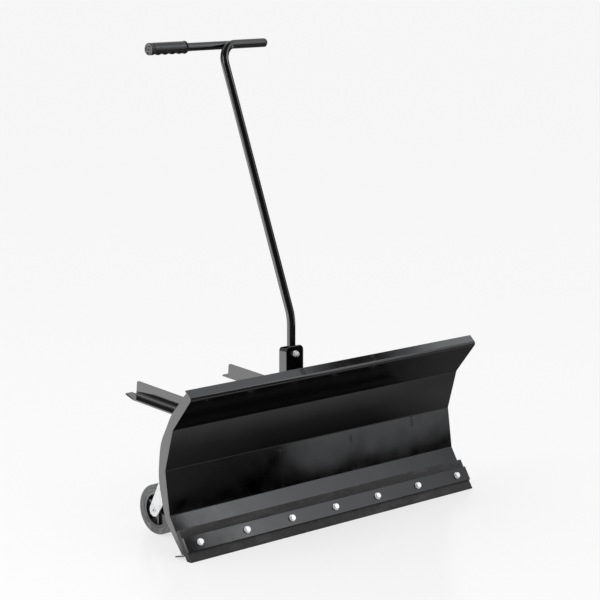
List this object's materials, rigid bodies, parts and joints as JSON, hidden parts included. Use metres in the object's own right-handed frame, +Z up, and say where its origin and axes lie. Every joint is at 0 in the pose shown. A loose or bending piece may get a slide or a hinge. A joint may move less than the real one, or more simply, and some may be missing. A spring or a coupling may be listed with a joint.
{
  "type": "plow blade",
  "caption": "Folded black plow blade on a push frame, with a wear strip, trailing castors and a tee-handled lever.",
  "frame": {"origin": "mid-width of the blade, on the ground, in the middle of the wear strip's level foot", "axes": "+X across the blade, +Y rearward towards the carrying machine, +Z up"},
  "size_m": [1, 0.6158, 1.1911],
  "materials": {
    "powder_black": "gloss",
    "zinc": "satin",
    "rubber_strip": "matte",
    "tyre": "matte",
    "plastic_black": "satin",
    "bushing": "satin"
  },
  "bodies": {
    "push_frame": {"arm_left": "powder_black", "arm_right": "powder_black", "cross_plate": "powder_black", "cross_bar_rear": "powder_black", "hinge_shaft": "zinc", "hinge_washers": "zinc", "hinge_nuts": "zinc"},
    "carriage": {"carriage_side_left": "powder_black", "carriage_side_right": "powder_black", "hinge_tube": "powder_black", "tongue_plate_lower": "powder_black", "tongue_plate_upper": "powder_black", "king_tube": "powder_black", "thrust_washers": "zinc", "lever_socket": "powder_black", "lever_bolt": "zinc", "lever_nut": "zinc", "lever_washers": "zinc", "clamp_bolt": "zinc", "clamp_washers": "zinc"},
    "knob": {"angle_knob": "plastic_black"},
    "blade": {"moldboard": "powder_black", "end_plate_left": "powder_black", "end_plate_right": "powder_black", "inner_ribs": "powder_black", "outer_ribs": "powder_black", "wear_strip": "rubber_strip", "clamp_bar": "powder_black", "strip_bolts": "zinc", "strip_washers": "zinc", "strip_nuts": "zinc", "pivot_plate_upper": "powder_black", "pivot_plate_lower": "powder_black", "king_pin": "zinc", "king_washer": "zinc", "split_pin": "zinc", "castor_arms": "powder_black", "castor_gussets": "powder_black", "castor_king_bolts": "zinc", "castor_king_washers": "zinc", "castor_king_nuts": "zinc", "castor_upper_races": "zinc"},
    "lever": {"lever_tube": "powder_black", "lever_bush": "bushing", "cross_bar": "powder_black", "bar_plug": "plastic_black", "grip": "plastic_black"},
    "castor_left": {"castor_fork_left": "zinc", "castor_axle_left": "zinc"},
    "castor_right": {"castor_fork_right": "zinc", "castor_axle_right": "zinc"},
    "wheel_left": {"castor_rim_left": "plastic_black", "castor_bush_left": "bushing", "castor_tyre_left": "tyre"},
    "wheel_right": {"castor_rim_right": "plastic_black", "castor_bush_right": "bushing", "castor_tyre_right": "tyre"}
  },
  "joints": [
    {"name": "lift", "type": "hinge", "parent": "push_frame", "child": "carriage", "pos_m": [0, 0.36889, 0.26591], "axis": [1, 0, 0], "range_deg": [-15, 0]},
    {"name": "blade_angle", "type": "hinge", "parent": "carriage", "child": "blade", "pos_m": [0, 0.13245, 0.236], "axis": [0, 0, 1], "range_deg": [-25, 25]},
    {"name": "lever_rock", "type": "hinge", "parent": "carriage", "child": "lever", "pos_m": [0, 0.16995, 0.411], "axis": [0, 1, 0], "range_deg": [-12, 12]},
    {"name": "knob_turn", "type": "hinge", "parent": "carriage", "child": "knob", "pos_m": [0, 0.22745, 0.235], "axis": [0, 0, 1], "continuous": true},
    {"name": "castor_left_swivel", "type": "hinge", "parent": "blade", "child": "castor_left", "pos_m": [-0.381, 0.19745, 0.14], "axis": [0, 0, 1], "continuous": true},
    {"name": "castor_right_swivel", "type": "hinge", "parent": "blade", "child": "castor_right", "pos_m": [0.381, 0.19745, 0.14], "axis": [0, 0, 1], "continuous": true},
    {"name": "wheel_left_spin", "type": "hinge", "parent": "castor_left", "child": "wheel_left", "pos_m": [-0.381, 0.23945, 0.0625], "axis": [1, 0, 0], "continuous": true},
    {"name": "wheel_right_spin", "type": "hinge", "parent": "castor_right", "child": "wheel_right", "pos_m": [0.381, 0.23945, 0.0625], "axis": [1, 0, 0], "continuous": true}
  ]
}
